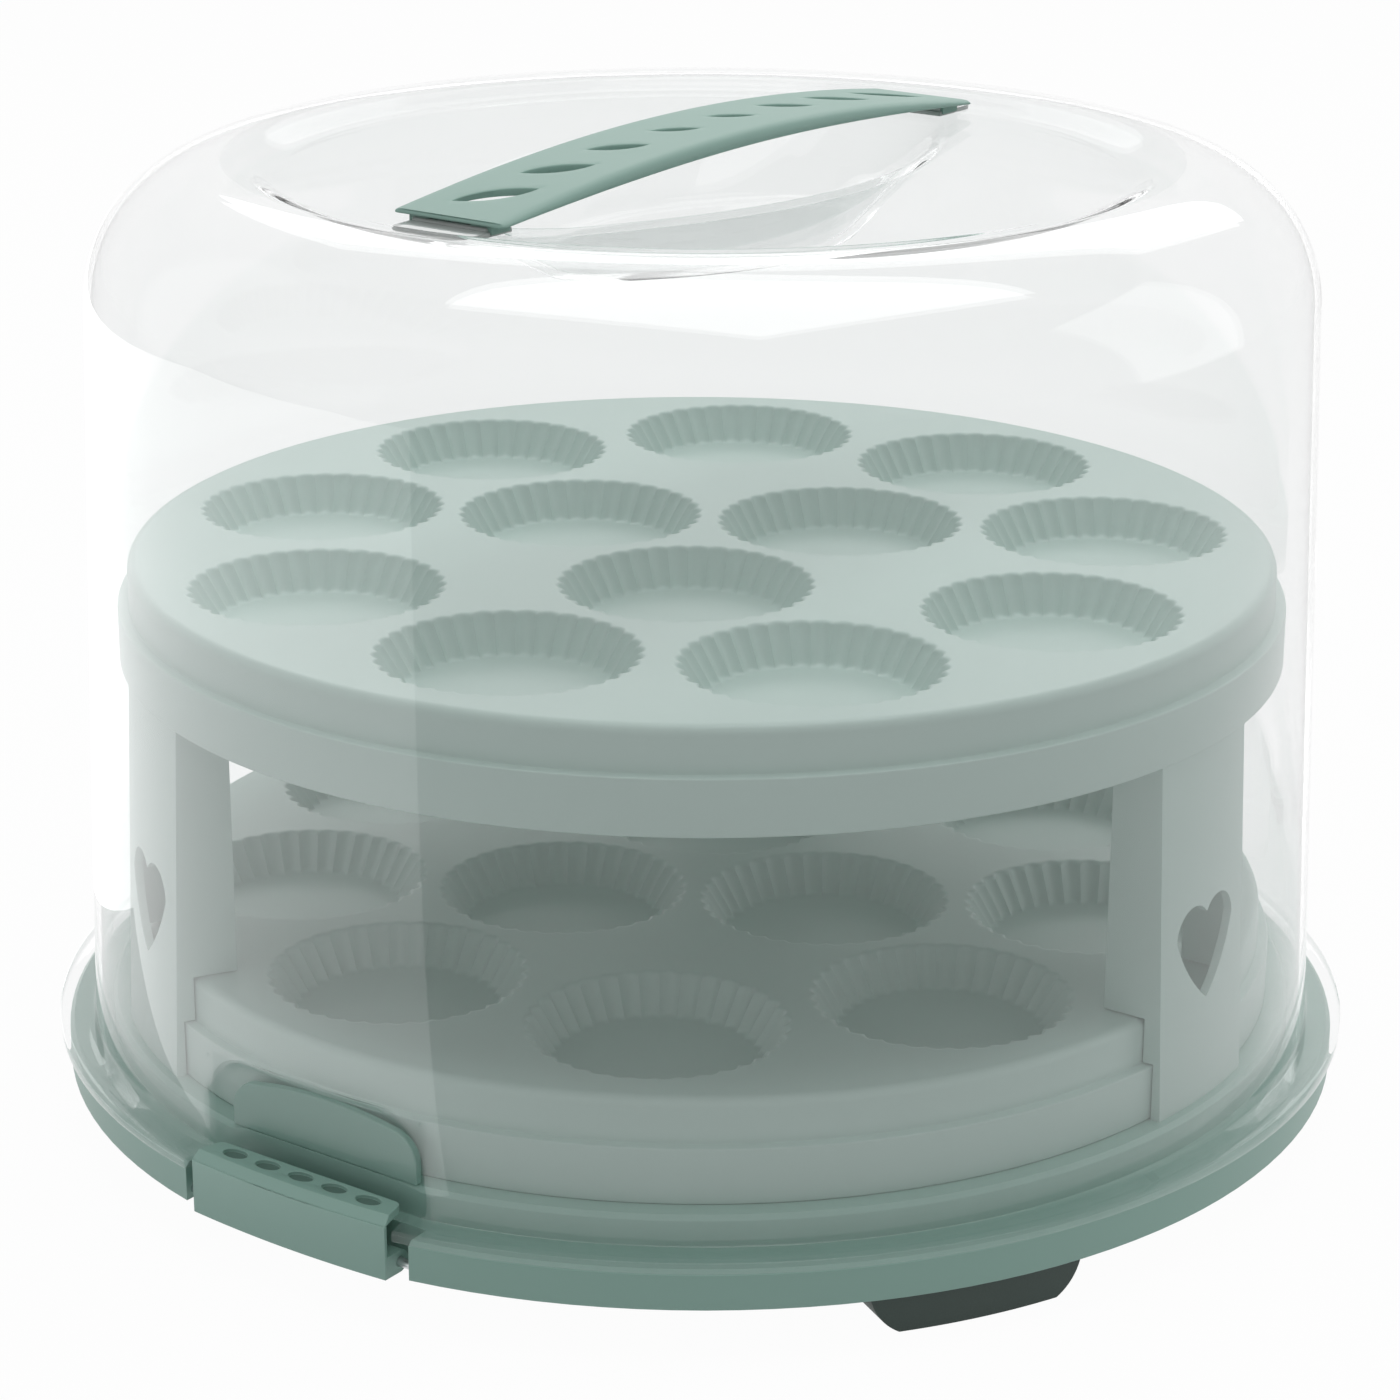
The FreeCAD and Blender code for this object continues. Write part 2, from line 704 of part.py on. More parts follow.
hood_hollow = cut("HoodHollow", hood_inner, niche(
    "NicheInner", "niche_reach - hood_wall", "hood_wall", "flange_level - 2",
))
finger_well = scoop("FingerWell", "0")
scoop_bowl = shared("ScoopBowl", [
    scoop("ScoopOuter", "hood_wall"),
    drum("ScoopRoom", "dish_radius", "dish_level - 2 * scoop_depth", "dish_level - hood_wall"),
])
scoop_cup = cut("scoop", scoop_bowl, [finger_well])
flange_gaps = front_and_rear(block(
    "FlangeGap", "flange_notch_half", "0", "flange_radius + 5", "flange_level - 1", "flange_top + 1",
))
flange_ring = cut("FlangeRing", flange_disc, [hood_hollow, *flange_gaps])
flanges = front_and_rear(block(
    "flange_front", "flange_notch_half", "niche_reach - hood_wall", "flange_notch_reach",
    "flange_level", "flange_top",
), "flange_rear")
for name, side in (("flange_right", "0"), ("flange_left", "-flange_radius")):
    half_room = doc.addObject("Part::Box", name.title().replace("_", "") + "Room")
    bind(
        half_room, Length="flange_radius", Width="2 * flange_radius", Height="flange_top + 1",
        Base_x=side, Base_y="-flange_radius",
    )
    flanges.append(shared(name, [flange_ring, half_room]))
hood_skin = cut("HoodSkin", hood_outer, [
    hood_hollow, finger_well, *niche("NicheOuter", "niche_reach", "0", "flange_level"),
])
tongues = front_and_rear(prism(
    "Tongue", PLAN, rounded_plate("tongue_half", "scoop_reach + 1", "tongue_reach", "tongue_corner"),
    "dish_level - hood_wall / 2", "dish_level + tongue_height",
))
dome = union("dome", [hood_skin, *tongues])

# Handle
handle_low = "handle_end_level - handle_depth"
handle_strap = prism("HandleStrap", SIDE, [
    ("-handle_reach", handle_low),
    ("handle_reach", handle_low, "handle_bend", -1),
    ("handle_reach", "handle_end_level"),
    ("-handle_reach", "handle_end_level", "handle_bend", 1),
], "-handle_half", "handle_half")
handle_plan = prism("HandlePlan", PLAN, [
    ("-handle_half", "-(handle_reach - handle_corner)"),
    ("-(handle_half - handle_corner)", "-handle_reach", "handle_corner", 1),
    ("handle_half - handle_corner", "-handle_reach"),
    ("handle_half", "-(handle_reach - handle_corner)", "handle_corner", 1),
    ("handle_half", "handle_reach - handle_corner"),
    ("handle_half - handle_corner", "handle_reach", "handle_corner", 1),
    ("-(handle_half - handle_corner)", "handle_reach"),
    ("-handle_half", "handle_reach - handle_corner", "handle_corner", 1),
], "dish_level - 5", "handle_end_level + handle_rise + 5")
hollow_end = "handle_end_level - handle_skin - 2 * handle_rise / handle_reach"
handle_hollow = prism("HandleHollow", SIDE, [
    ("-(handle_reach + 1)", "dish_level - 5"),
    ("handle_reach + 1", "dish_level - 5"),
    ("handle_reach + 1", hollow_end),
    ("-(handle_reach + 1)", hollow_end, "handle_bend", 1),
], "-(handle_half - handle_side)", "handle_half - handle_side")
holes = []
for count in range(8):
    step = abs(count - 3.5) - 0.5
    half = f"(hole_half + {step} * hole_half_step)"
    width = f"(hole_width + {step} * hole_width_step)"
    place = f"{count - 3.5} * hole_pitch"
    bend = f"({half}^2 + {width}^2) / (2 * {width})"
    holes.append(prism(f"Hole{count + 1}", PLAN, [
        (f"-{half} * cos(hole_turn)", f"{place} - {half} * sin(hole_turn)", bend, 1),
        (f"{half} * cos(hole_turn)", f"{place} + {half} * sin(hole_turn)", bend, 1),
    ], "dish_level", "handle_end_level + handle_rise + 5"))
handle = cut("handle", shared("HandleBlank", [handle_strap, handle_plan]), [handle_hollow, *holes])

doc.recompute()
nodes = [base_plate, *tabs, *feet, *latches, *pins, *trays, *pillars, dome, scoop_cup, *flanges, handle]
for feature in doc.Objects:
    if "Invalid" in feature.State or "Error" in feature.State:
        raise RuntimeError(f"{feature.Name} did not build: {feature.State}")
os.makedirs("parts", exist_ok=True)
for node in nodes:
    node.Label = node.Name
    shape = node.Shape
    if shape.isNull() or not shape.isValid() or len(shape.Solids) != 1:
        raise RuntimeError(f"{node.Name} is not one sound solid")
    shape.exportStep(f"parts/{node.Name}.step")
    box = shape.BoundBox
    corners = (box.XMin, box.YMin, box.ZMin, box.XMax, box.YMax, box.ZMax)
    print(node.Name, [round(size, 1) for size in corners])
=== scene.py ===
"""Looks of a two-tier cake keeper: clear hood, fluted trays, pillars, latched base and handle."""

import logging
import math
from dataclasses import dataclass, field
from enum import Enum
from functools import cache

import bmesh
import bpy
import numpy as np
from mathutils import Matrix, Vector
from mathutils.geometry import delaunay_2d_cdt


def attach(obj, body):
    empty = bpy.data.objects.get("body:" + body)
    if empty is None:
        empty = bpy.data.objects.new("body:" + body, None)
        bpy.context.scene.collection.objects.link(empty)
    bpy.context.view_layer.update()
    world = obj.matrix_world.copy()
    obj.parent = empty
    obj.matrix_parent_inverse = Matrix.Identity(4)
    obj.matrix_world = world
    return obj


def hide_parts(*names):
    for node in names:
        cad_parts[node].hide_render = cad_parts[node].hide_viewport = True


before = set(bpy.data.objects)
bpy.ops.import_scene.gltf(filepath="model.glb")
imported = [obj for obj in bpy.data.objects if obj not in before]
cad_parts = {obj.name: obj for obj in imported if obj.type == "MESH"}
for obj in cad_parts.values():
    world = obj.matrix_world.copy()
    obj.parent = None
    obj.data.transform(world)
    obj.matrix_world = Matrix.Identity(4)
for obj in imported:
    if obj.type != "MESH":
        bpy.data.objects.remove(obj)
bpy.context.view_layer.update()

logging.basicConfig(level=logging.INFO, format="%(message)s")
LOG = logging.getLogger("cake_keeper")

MM = 0.001
Point = tuple[float, float]
Place = tuple[float, float, float]
Colour = tuple[float, float, float]
Node = bpy.types.Node
Socket = bpy.types.NodeSocket
Piece = bpy.types.Object
Material = bpy.types.Material


def linear(red: int, green: int, blue: int) -> Colour:
    """Turn a screen colour into the values that shaders use.

    Args:
        red: Red from 0 to 255.
        green: Green from 0 to 255.
        blue: Blue from 0 to 255.

    Returns:
        The same colour in linear values.
    """
    parts = [part / 255.0 for part in (red, green, blue)]
    return tuple(p / 12.92 if p <= 0.04045 else ((p + 0.055) / 1.055) ** 2.4 for p in parts)


@dataclass
class NodeSheet:
    """Adds and joins nodes in one node tree."""

    tree: bpy.types.NodeTree

    def add(self, kind: str, **values: object) -> Node:
        """Add a node and set its properties and input values.

        Args:
            kind: The node's type name.
            values: Property names, or input names with spaces written as underscores.

        Returns:
            The new node.
        """
        node = self.tree.nodes.new(kind)
        for name, value in values.items():
            if hasattr(node, name):
                setattr(node, name, value)
            else:
                node.inputs[name.replace("_", " ")].default_value = value
        return node

    def join(self, source: Socket, target: Socket) -> None:
        """Link two sockets.

        Args:
            source: The output socket.
            target: The input socket.
        """
        self.tree.links.new(source, target)

    def math(self, operation: str, *terms: Socket | float) -> Socket:
        """Add one step of arithmetic.

        Args:
            operation: What the step does.
            terms: Output sockets or plain numbers.

        Returns:
            The socket of the result.
        """
        node = self.add("ShaderNodeMath", operation=operation)
        for target, term in zip(node.inputs, terms):
            if isinstance(term, Socket):
                self.join(term, target)
            else:
                target.default_value = term
        return node.outputs[0]

    def blend(self, share: Socket, first: Node, second: Node) -> None:
        """Let the material show a blend of two shaders.

        Args:
            share: The second shader's share.
            first: The first shader.
            second: The second shader.
        """
        mix = self.add("ShaderNodeMixShader")
        for source, target in zip((share, first.outputs[0], second.outputs[0]), mix.inputs):
            self.join(source, target)
        self.join(mix.outputs[0], self.tree.nodes["Material Output"].inputs["Surface"])


def start_material(name: str) -> tuple[Material, NodeSheet, Node]:
    """Start a node material.

    Args:
        name: The material's name.

    Returns:
        The material, a sheet for its nodes and its shader.
    """
    made = bpy.data.materials.new(name)
    made.use_nodes = True
    return made, NodeSheet(made.node_tree), made.node_tree.nodes["Principled BSDF"]


@cache
def moulded_group() -> bpy.types.NodeTree:
    """The look of moulded plastic: faint flow marks in colour, fine grain and uneven gloss.

    Returns:
        A group with Colour, Mottle, Gloss, Spread and Grain Size inputs, and Colour, Roughness and
        Height outputs.
    """
    tree = bpy.data.node_groups.new("Moulded plastic", "ShaderNodeTree")
    sockets = {"INPUT": ("Colour", "Mottle", "Gloss", "Spread", "Grain Size")}
    sockets["OUTPUT"] = ("Colour", "Roughness", "Height")
    for way, names in sockets.items():
        for name in names:
            kind = "NodeSocketColor" if name == "Colour" else "NodeSocketFloat"
            tree.interface.new_socket(name, in_out=way, socket_type=kind)
    sheet = NodeSheet(tree)
    inputs = sheet.add("NodeGroupInput")
    outputs = sheet.add("NodeGroupOutput")
    place = sheet.add("ShaderNodeTexCoord")
    clouds = sheet.add("ShaderNodeTexNoise", Scale=16.0, Detail=3.0, Roughness=0.55)
    sheet.join(place.outputs["Object"], clouds.inputs["Vector"])
    swing = sheet.math("SUBTRACT", clouds.outputs["Fac"], 0.5)
    amount = sheet.math("MULTIPLY_ADD", swing, inputs.outputs["Mottle"], 1.0)
    tint = sheet.add("ShaderNodeMix", data_type="RGBA", blend_type="MULTIPLY")
    tint.inputs[0].default_value = 1.0
    sheet.join(inputs.outputs["Colour"], tint.inputs[6])
    sheet.join(amount, tint.inputs[7])
    sheet.join(tint.outputs[2], outputs.inputs["Colour"])
    gloss = sheet.math("MULTIPLY_ADD", swing, inputs.outputs["Spread"], inputs.outputs["Gloss"])
    sheet.join(gloss, outputs.inputs["Roughness"])
    grain = sheet.add("ShaderNodeTexNoise", Detail=2.0, Roughness=0.6)
    sheet.join(place.outputs["Object"], grain.inputs["Vector"])
    sheet.join(inputs.outputs["Grain Size"], grain.inputs["Scale"])
    sheet.join(grain.outputs["Fac"], outputs.inputs["Height"])
    return tree


def apply_moulded(sheet: NodeSheet, shader: Node, colour: Colour, **levels: float) -> Node:
    """Give a material the moulded look.

    Args:
        sheet: The material's nodes.
        shader: The shader whose colour and roughness the look feeds.
        colour: The plain colour.
        levels: The group's other inputs, with spaces written as underscores.

    Returns:
        The group's node.
    """
    surface = sheet.add("ShaderNodeGroup", node_tree=moulded_group(), Colour=(*colour, 1.0), **levels)
    sheet.join(surface.outputs["Colour"], shader.inputs["Base Color"])
    sheet.join(surface.outputs["Roughness"], shader.inputs["Roughness"])
    return surface


@dataclass(frozen=True)
class MouldedFinish:
    """An opaque moulded plastic or rubber."""

    name: str
    colour: Colour
    gloss: float = 0.38
    spread: float = 0.12
    mottle: float = 0.05
    grain_size: float = 2200.0
    grain_depth: float = 0.06

    def material(self) -> Material:
        """Build the material.

        Returns:
            A new node material.
        """
        made, sheet, shader = start_material(self.name)
        shader.inputs["IOR"].default_value = 1.49
        levels = {"Mottle": self.mottle, "Gloss": self.gloss, "Spread": self.spread}
        surface = apply_moulded(sheet, shader, self.colour, Grain_Size=self.grain_size, **levels)
        bump = sheet.add("ShaderNodeBump", Strength=self.grain_depth, Distance=0.0004)
        sheet.join(surface.outputs["Height"], bump.inputs["Height"])
        sheet.join(bump.outputs["Normal"], shader.inputs["Normal"])
        return made


@dataclass(frozen=True)
class ClearFinish:
    """A clear plastic: light passes almost straight through, and its coat carries the sheen."""

    name: str
    colour: Colour
    gloss: float = 0.02
    spread: float = 0.03
    bend: float = 1.01
    coat: float = 1.0
    clear: float = 1.0

    def material(self) -> Material:
        """Build the material.

        Returns:
            A new node material.
        """
        made, sheet, shader = start_material(self.name)
        shader.inputs["IOR"].default_value = self.bend
        shader.inputs["Transmission Weight"].default_value = self.clear
        shader.inputs["Coat Weight"].default_value = self.coat
        shader.inputs["Coat Roughness"].default_value = 0.02
        apply_moulded(
            sheet, shader, self.colour, Mottle=0.01, Gloss=self.gloss, Spread=self.spread, Grain_Size=900.0
        )
        path = sheet.add("ShaderNodeLightPath")
        soft = sheet.math("MAXIMUM", path.outputs["Is Shadow Ray"], path.outputs["Is Diffuse Ray"])
        passed = sheet.add("ShaderNodeBsdfTransparent", Color=(*self.colour, 1.0))
        sheet.blend(soft, shader, passed)
        return made


@dataclass(frozen=True)
class SteelFinish:
    """Bright drawn steel wire, for the hinge pins."""

    name: str

    def material(self) -> Material:
        """Build the material.

        Returns:
            A new node material.
        """
        made, sheet, shader = start_material(self.name)
        shader.inputs["Metallic"].default_value = 1.0
        apply_moulded(
            sheet, shader, (0.6, 0.61, 0.62), Mottle=0.2, Gloss=0.28, Spread=0.2, Grain_Size=1500.0
        )
        return made


class Finishes(Enum):
    """The finishes of the keeper's pieces, and a painted shade for the latch dimples."""

    MINT = MouldedFinish("Mint plastic", linear(150, 186, 175))
    HANDLE = MouldedFinish("Mint plastic of the handle", linear(137, 172, 161), gloss=0.45)
    # painted shade: a darker copy of the mint, laid on the floors of the latch dimples
    SHADE = MouldedFinish("Mint plastic with painted dimple shade", linear(96, 124, 115), gloss=0.5)
    PALE = MouldedFinish("Pale mint plastic", linear(190, 212, 205), gloss=0.42)
    CLEAR = ClearFinish("Clear plastic", (0.945, 0.95, 0.95))
    SOFT = ClearFinish("Clear plastic with a soft sheen", (0.945, 0.95, 0.95), coat=0.25)
    TONGUE = ClearFinish("Frosted plastic", (0.46, 0.49, 0.48), gloss=0.4, bend=1.3, clear=0.3)
    RUBBER = MouldedFinish(
        "Dark rubber", linear(70, 84, 79), gloss=0.6, mottle=0.12, grain_size=1400.0, grain_depth=0.2
    )
    STEEL = SteelFinish("Pin steel")

    @cache
    def material(self) -> Material:
        """Fetch the finish's material, built the first time.

        Returns:
            The material.
        """
        return self.value.material()


def add_object(name: str, data: bpy.types.ID) -> Piece:
    """Add an object to the scene.

    Args:
        name: Its name.
        data: Its mesh, light or camera.

    Returns:
        The object.
    """
    piece = bpy.data.objects.new(name, data)
    bpy.context.scene.collection.objects.link(piece)
    return piece


@dataclass
class SolidMesh:
    """Collects rings of points and the faces between them, then makes one smooth object."""

    points: list[Place] = field(default_factory=list)
    faces: list[list[int]] = field(default_factory=list)

    def ring(self, points: list[Place]) -> list[int]:
        """Add points.

        Args:
            points: Places in millimetres.

        Returns:
            The numbers of the new points.
        """
        start = len(self.points)
        self.points.extend(points)
        return list(range(start, len(self.points)))

    def bridge(self, rings: list[list[int]]) -> None:
        """Span each closed ring and the next one with four-sided faces.

        Args:
            rings: The rings in order, all of the same length.
        """
        for first, second in zip(rings, rings[1:]):
            count = len(first)
            for index in range(count):
                following = (index + 1) % count
                self.faces.append([first[index], first[following], second[following], second[index]])

    def cap(self, ring: list[int]) -> None:
        """Close a flat ring with one face.

        Args:
            ring: The ring.
        """
        self.faces.append(list(ring))

    def pit(self, sections: list[list[Place]]) -> list[int]:
        """Add a hollow with a flat floor.

        Args:
            sections: The points of its rings, from the mouth to the floor.

        Returns:
            The ring of its mouth.
        """
        rings = [self.ring(section) for section in sections]
        self.bridge(rings)
        self.cap(rings[-1])
        return rings[0]

    def fill(self, outer: list[int], holes: list[list[int]], inner: list[int] | None = None) -> None:
        """Fill the place between an outer ring and the rings of its holes, as seen from above.

        Args:
            outer: The outer ring.
            holes: The rings that stay open.
            inner: Further points that the faces pass through.
        """
        numbers = [*outer]
        areas = [list(range(len(outer)))]
        for hole in holes:
            areas.append(list(range(len(numbers), len(numbers) + len(hole))))
            numbers += hole
        numbers += inner or []
        flat = [Vector(self.points[number][:2]) for number in numbers]
        _, _, faces, origins, _, sources = delaunay_2d_cdt(flat, [], areas, 1, 1e-5)
        for face, source in zip(faces, sources):
            if source == [0]:
                self.faces.append([numbers[origins[corner][0]] for corner in face])

    def make(self, name: str, sharp_degrees: float = 40.0) -> Piece:
        """Turn what was collected into an object.

        Args:
            name: The object's name.
            sharp_degrees: Edges that bend more than this stay crisp.

        Returns:
            The new object, linked to the scene.
        """
        mesh = bpy.data.meshes.new(name)
        mesh.from_pydata([Vector(point) * MM for point in self.points], [], self.faces)
        shaped = bmesh.new()
        shaped.from_mesh(mesh)
        bmesh.ops.remove_doubles(shaped, verts=shaped.verts, dist=1e-7)
        bmesh.ops.recalc_face_normals(shaped, faces=shaped.faces)
        shaped.to_mesh(mesh)
        shaped.free()
        piece = add_object(name, mesh)
        soften(piece, sharp_degrees)
        return piece


def soften(piece: Piece, sharp_degrees: float) -> None:
    """Shade a piece smoothly, apart from its sharp edges.

    Args:
        piece: The piece.
        sharp_degrees: Edges that bend more than this stay crisp.
    """
    mesh = piece.data
    mesh.polygons.foreach_set("use_smooth", [True] * len(mesh.polygons))
    mesh.set_sharp_from_angle(angle=math.radians(sharp_degrees))


def around(radius: float, azimuth: float) -> Point:
    """Place a point round the middle axis.

    Args:
        radius: Its distance from the axis.
        azimuth: Its direction in degrees; 0 is the front, 90 the right side.

    Returns:
        The point in plan.
    """
    angle = math.radians(azimuth)
    return radius * math.sin(angle), -radius * math.cos(angle)


def circle(radius: float, level: float, count: int, centre: Point = (0.0, 0.0)) -> list[Place]:
    """Points of a level circle.

    Args:
        radius: The circle's radius.
        level: Its height.
        count: How many points it has.
        centre: Its middle in plan.

    Returns:
        The points in order.
    """
    turns = [2 * math.pi * index / count for index in range(count)]
    return [(centre[0] + radius * math.cos(t), centre[1] + radius * math.sin(t), level) for t in turns]


def corner_arc(centre: Point, radius: float, start: float, end: float, steps: int) -> list[Point]:
    """Points of an arc in a profile.

    Args:
        centre: The arc's centre.
        radius: Its radius.
        start: Its first angle in degrees.
        end: Its last angle in degrees.
        steps: How many pieces it has.

    Returns:
        The points, the ends included.
    """
    angles = [math.radians(start + (end - start) * step / steps) for step in range(steps + 1)]
    return [(centre[0] + radius * math.cos(a), centre[1] + radius * math.sin(a)) for a in angles]


class DressedNode:
    """A CAD solid that keeps its shape and gets softened edges and a finish."""

    WELD = 2e-6
    FLAT_DEGREES = 0.4
    SHARP_DEGREES = 30.0
    ROUND_DEGREES = 35.0

    @classmethod
    def build(cls, node: str, body: str, finish: Finishes, edge: float) -> Piece:
        """Copy a solid, weld it, round its edges and dress it.

        Args:
            node: The CAD node that it stands for.
            body: The body that it rides on.
            finish: Its finish.
            edge: The width of the rounded edges in millimetres.

        Returns:
            The dressed piece.
        """
        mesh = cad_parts[node].data.copy()
        mesh.name = node + "_dressed"
        shaped = bmesh.new()
        shaped.from_mesh(mesh)
        bmesh.ops.remove_doubles(shaped, verts=shaped.verts, dist=cls.WELD)
        bmesh.ops.dissolve_limit(
            shaped,
            angle_limit=math.radians(cls.FLAT_DEGREES),
            verts=shaped.verts,
            edges=shaped.edges,
            delimit={"NORMAL"},
        )
        shaped.to_mesh(mesh)
        shaped.free()
        piece = add_object(node + "_dressed", mesh)
        soften(piece, cls.SHARP_DEGREES)
        rounding = piece.modifiers.new("Rounded edges", "BEVEL")
        rounding.width = edge * MM
        rounding.segments = 2
        rounding.limit_method = "ANGLE"
        rounding.angle_limit = math.radians(cls.ROUND_DEGREES)
        rounding.harden_normals = True
        mesh.materials.clear()
        mesh.materials.append(finish.material())
        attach(piece, body)
        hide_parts(node)
        return piece


@dataclass
class FlutedTray:
    """One of the two trays: a stepped skirt, a rounded rim and twelve pleated wells."""

    node: str
    body: str
    level: float
    radius: float = 151.6
    skirt: float = 154.5
    height: float = 26.3
    ledge_drop: float = 11.7
    wall: float = 2.0
    deck: float = 2.2
    rim_round: float = 2.6
    ledge_fillet: float = 0.35
    ledge_round: float = 0.5
    foot_round: float = 0.6
    well_depth: float = 10.0
    turn: float = 0.0
    well_rim: float = 32.6
    well_floor: float = 27.0
    pleats: int = 36
    pleat_depth: float = 1.5
    outer_ring: float = 107.9
    inner_ring: float = 40.8
    outer_azimuths: list[float] = field(default_factory=lambda: [10.0 + 40.0 * k for k in range(9)])
    inner_azimuths: list[float] = field(default_factory=lambda: [30.0, 150.0, 270.0])

    def profile(self) -> list[Point]:
        """The section of rim and skirt, from the deck's top edge round to its underside.

        Returns:
            Points of reach and height.
        """
        ledge = self.height - self.ledge_drop
        inside = self.skirt - self.wall
        bend = (self.radius - self.rim_round, self.height - self.rim_round)
        points = [(bend[0] - 1.5, self.height), (bend[0] - 0.5, self.height)]
        points += corner_arc(bend, self.rim_round, 90, 0, 8)
        fillet, edge, foot = self.ledge_fillet, self.ledge_round, self.foot_round
        points += corner_arc((self.radius + fillet, ledge + fillet), fillet, 180, 270, 3)
        points += corner_arc((self.skirt - edge, ledge - edge), edge, 90, 0, 4)
        points += corner_arc((self.skirt - foot, foot), foot, 0, -90, 4)
        points += corner_arc((inside + 0.5, 0.5), 0.5, -90, -180, 3)
        points += [(inside, ledge - self.wall), (self.radius - self.wall, ledge - self.wall)]
        points += [(self.radius - self.wall, self.height - self.deck)]
        points += [(self.radius - self.wall - 1.0, self.height - self.deck)]
        return points

    def pleated(self, reach: float, share: float, level: float, centre: Point, turn: float) -> list:
        """One level ring of a well.

        Args:
            reach: The ring's radius over its lobes.
            share: How much of the pleats' depth the ring shows.
            level: The ring's height.
            centre: The well's middle in plan.
            turn: Where the pleats start, in degrees.

        Returns:
            The ring's points.
        """
        count = self.pleats * 6
        points = []
        for index in range(count):
            angle = 2 * math.pi * index / count
            lobe = abs(math.cos(self.pleats * angle / 2))
            radius = reach - self.pleat_depth * share * (1 - lobe)
            turned = angle + math.radians(turn)
            x = centre[0] + radius * math.cos(turned)
            y = centre[1] + radius * math.sin(turned)
            points.append((x, y, level))
        return points

    def well(self, solid: SolidMesh, centre: Point, turn: float) -> list[int]:
        """Add one well.

        Args:
            solid: The mesh that it is added to.
            centre: The well's middle in plan.
            turn: Where its pleats start, in degrees.

        Returns:
            The ring where the well meets the deck.
        """
        top = self.level + self.height
        floor = top - self.well_depth
        lip = [(1.5, 0.55, 0.0), (1.0, 0.75, 0.0), (0.6, 0.9, -0.12), (0.2, 1.0, -0.45), (0.0, 1.0, -1.0)]
        sections = [(self.well_rim + out, share, top + drop) for out, share, drop in lip]
        slope = self.well_rim - self.well_floor
        for part in (0.25, 0.5, 0.75, 0.9):
            fallen = (self.well_depth - 1.0) * part
            sections.append((self.well_rim - slope * part, 1.0, top - 1.0 - fallen))
        sections += [
            (self.well_floor + 0.2, 0.95, floor + 0.5),
            (self.well_floor - 0.5, 0.8, floor + 0.12),
            (self.well_floor - 1.4, 0.5, floor),
            (self.well_floor - 2.6, 0.2, floor),
        ]
        return solid.pit([self.pleated(*section, centre, turn) for section in sections])

    def cup(self, solid: SolidMesh, centre: Point) -> list[int]:
        """Add the outside of one well, under the deck.

        Args:
            solid: The mesh that it is added to.
            centre: The well's middle in plan.

        Returns:
            The ring where the cup meets the deck's underside.
        """
        under = self.level + self.height - self.deck
        foot = self.level + self.height - self.well_depth - self.wall
        sections = [
            (self.well_rim + self.wall, under),
            (self.well_floor + self.wall + 0.3, foot + 0.9),
            (self.well_floor + self.wall - 0.6, foot),
        ]
        return solid.pit([circle(reach, level, 60, centre) for reach, level in sections])

    def build(self) -> Piece:
        """Build and dress the tray.

        Returns:
            The tray's piece.
        """
        solid = SolidMesh()
        rows = [solid.ring(circle(reach, self.level + height, 240)) for reach, height in self.profile()]
        solid.bridge(rows)
        places = []
        rings = ((self.outer_ring, self.outer_azimuths), (self.inner_ring, self.inner_azimuths))
        for ring, azimuths in rings:
            places += [(around(ring, azimuth + self.turn), azimuth) for azimuth in azimuths]
        solid.fill(rows[0], [self.well(solid, centre, azimuth) for centre, azimuth in places])
        solid.fill(rows[-1], [self.cup(solid, centre) for centre, _ in places])
        piece = solid.make(self.node + "_fluted", 50.0)
        piece.data.materials.append(Finishes.PALE.material())
        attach(piece, self.body)
        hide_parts(self.node)
        return piece


@dataclass
class Scoop:
    """The finger well under the handle: a long lens with sloping walls."""

    half: float = 45.0
    end: float = 12.0
    reach: float = 93.0
    lean: float = 12.0
    run: float = 36.0
    depth: float = 18.0
    count: int = 64

    def ring(self, part: float, grow: float, level: float) -> list[Place]:
        """One level ring of the well.

        Args:
            part: 0 at the mouth, 1 at the floor.
            grow: How far the ring is set outward.
            level: Its height.

        Returns:
            The ring's points.
        """
        half = self.half - self.lean * part + grow
        end = self.end * (1 - part / 2) + grow
        reach = self.reach - self.run * part + grow
        points = []
        for index in range(2 * self.count):
            angle = math.pi * index / self.count - math.pi / 2
            along = reach * math.sin(angle)
            blunt = max(abs(along) - (reach - end), 0.0) / end
            swell = end + (half - end) * (1 - (along / reach) ** 2)
            width = swell * math.sqrt(max(1 - blunt * blunt, 0.0))
            points.append((math.copysign(width, math.cos(angle)), along, level))
        return points

    def build(self, solid: SolidMesh, mouth: float, grow: float) -> list[int]:
        """Add one face of the well, its inside or its underside.

        Args:
            solid: The mesh that it is added to.
            mouth: The height of the face round the well.
            grow: How far the face is set outward.

        Returns:
            The ring where the well meets the face round it.
        """
        sections = [
            self.ring(0.0, grow + 1.6, mouth),
            self.ring(0.0, grow + 0.8, mouth - 0.12),
            self.ring(0.02, grow + 0.25, mouth - 0.5),
        ]
        for part in (0.07, 0.2, 0.35, 0.5, 0.65, 0.8, 0.9):
            sections.append(self.ring(part, grow, mouth - self.depth * part))
        for part, inset, lift in ((0.96, 0.1, 0.32), (1.0, 0.9, 0.1), (1.0, 2.4, 0.0)):
            level = mouth - self.depth + lift * self.depth * 0.1
            sections.append(self.ring(part, grow - inset, level))
        return solid.pit(sections)


